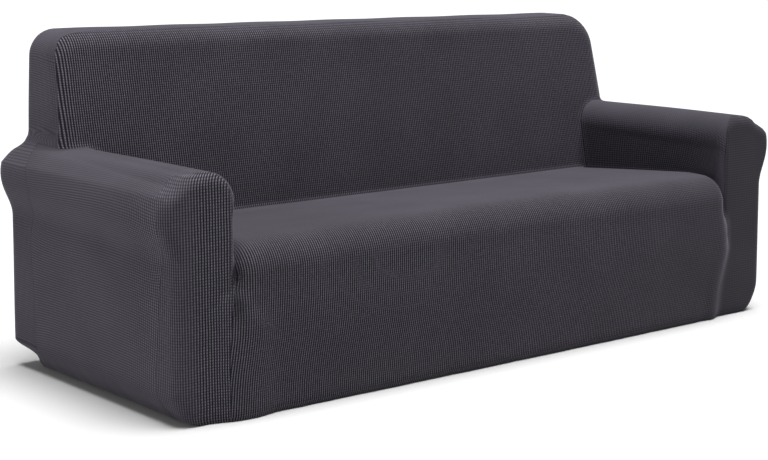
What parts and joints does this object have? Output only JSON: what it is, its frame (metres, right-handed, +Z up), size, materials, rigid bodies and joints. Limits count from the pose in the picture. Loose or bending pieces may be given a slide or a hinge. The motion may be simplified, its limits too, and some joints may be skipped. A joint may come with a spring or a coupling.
{
  "type": "sofa slipcover",
  "caption": "Fitted stretch slipcover for a three-seat sofa with rolled arms, hollow and open underneath, sewn from cut panels with an elastic hem.",
  "frame": {"origin": "under the middle of the cover, level with its hem", "axes": "+X across the sofa to the right of someone facing it, +Y from the seat front to the outside back, +Z up"},
  "size_m": [2.1261, 0.8441, 0.8834],
  "materials": {
    "charcoal_cloth": "matte small-check stretch jacquard with a soft light nap"
  },
  "bodies": {
    "root": {"seat_and_skirt": "charcoal_cloth", "inside_back": "charcoal_cloth", "outside_back": "charcoal_cloth", "arm_sleeve_left": "charcoal_cloth", "arm_sleeve_right": "charcoal_cloth", "arm_front_left": "charcoal_cloth", "arm_front_right": "charcoal_cloth"}
  },
  "joints": []
}
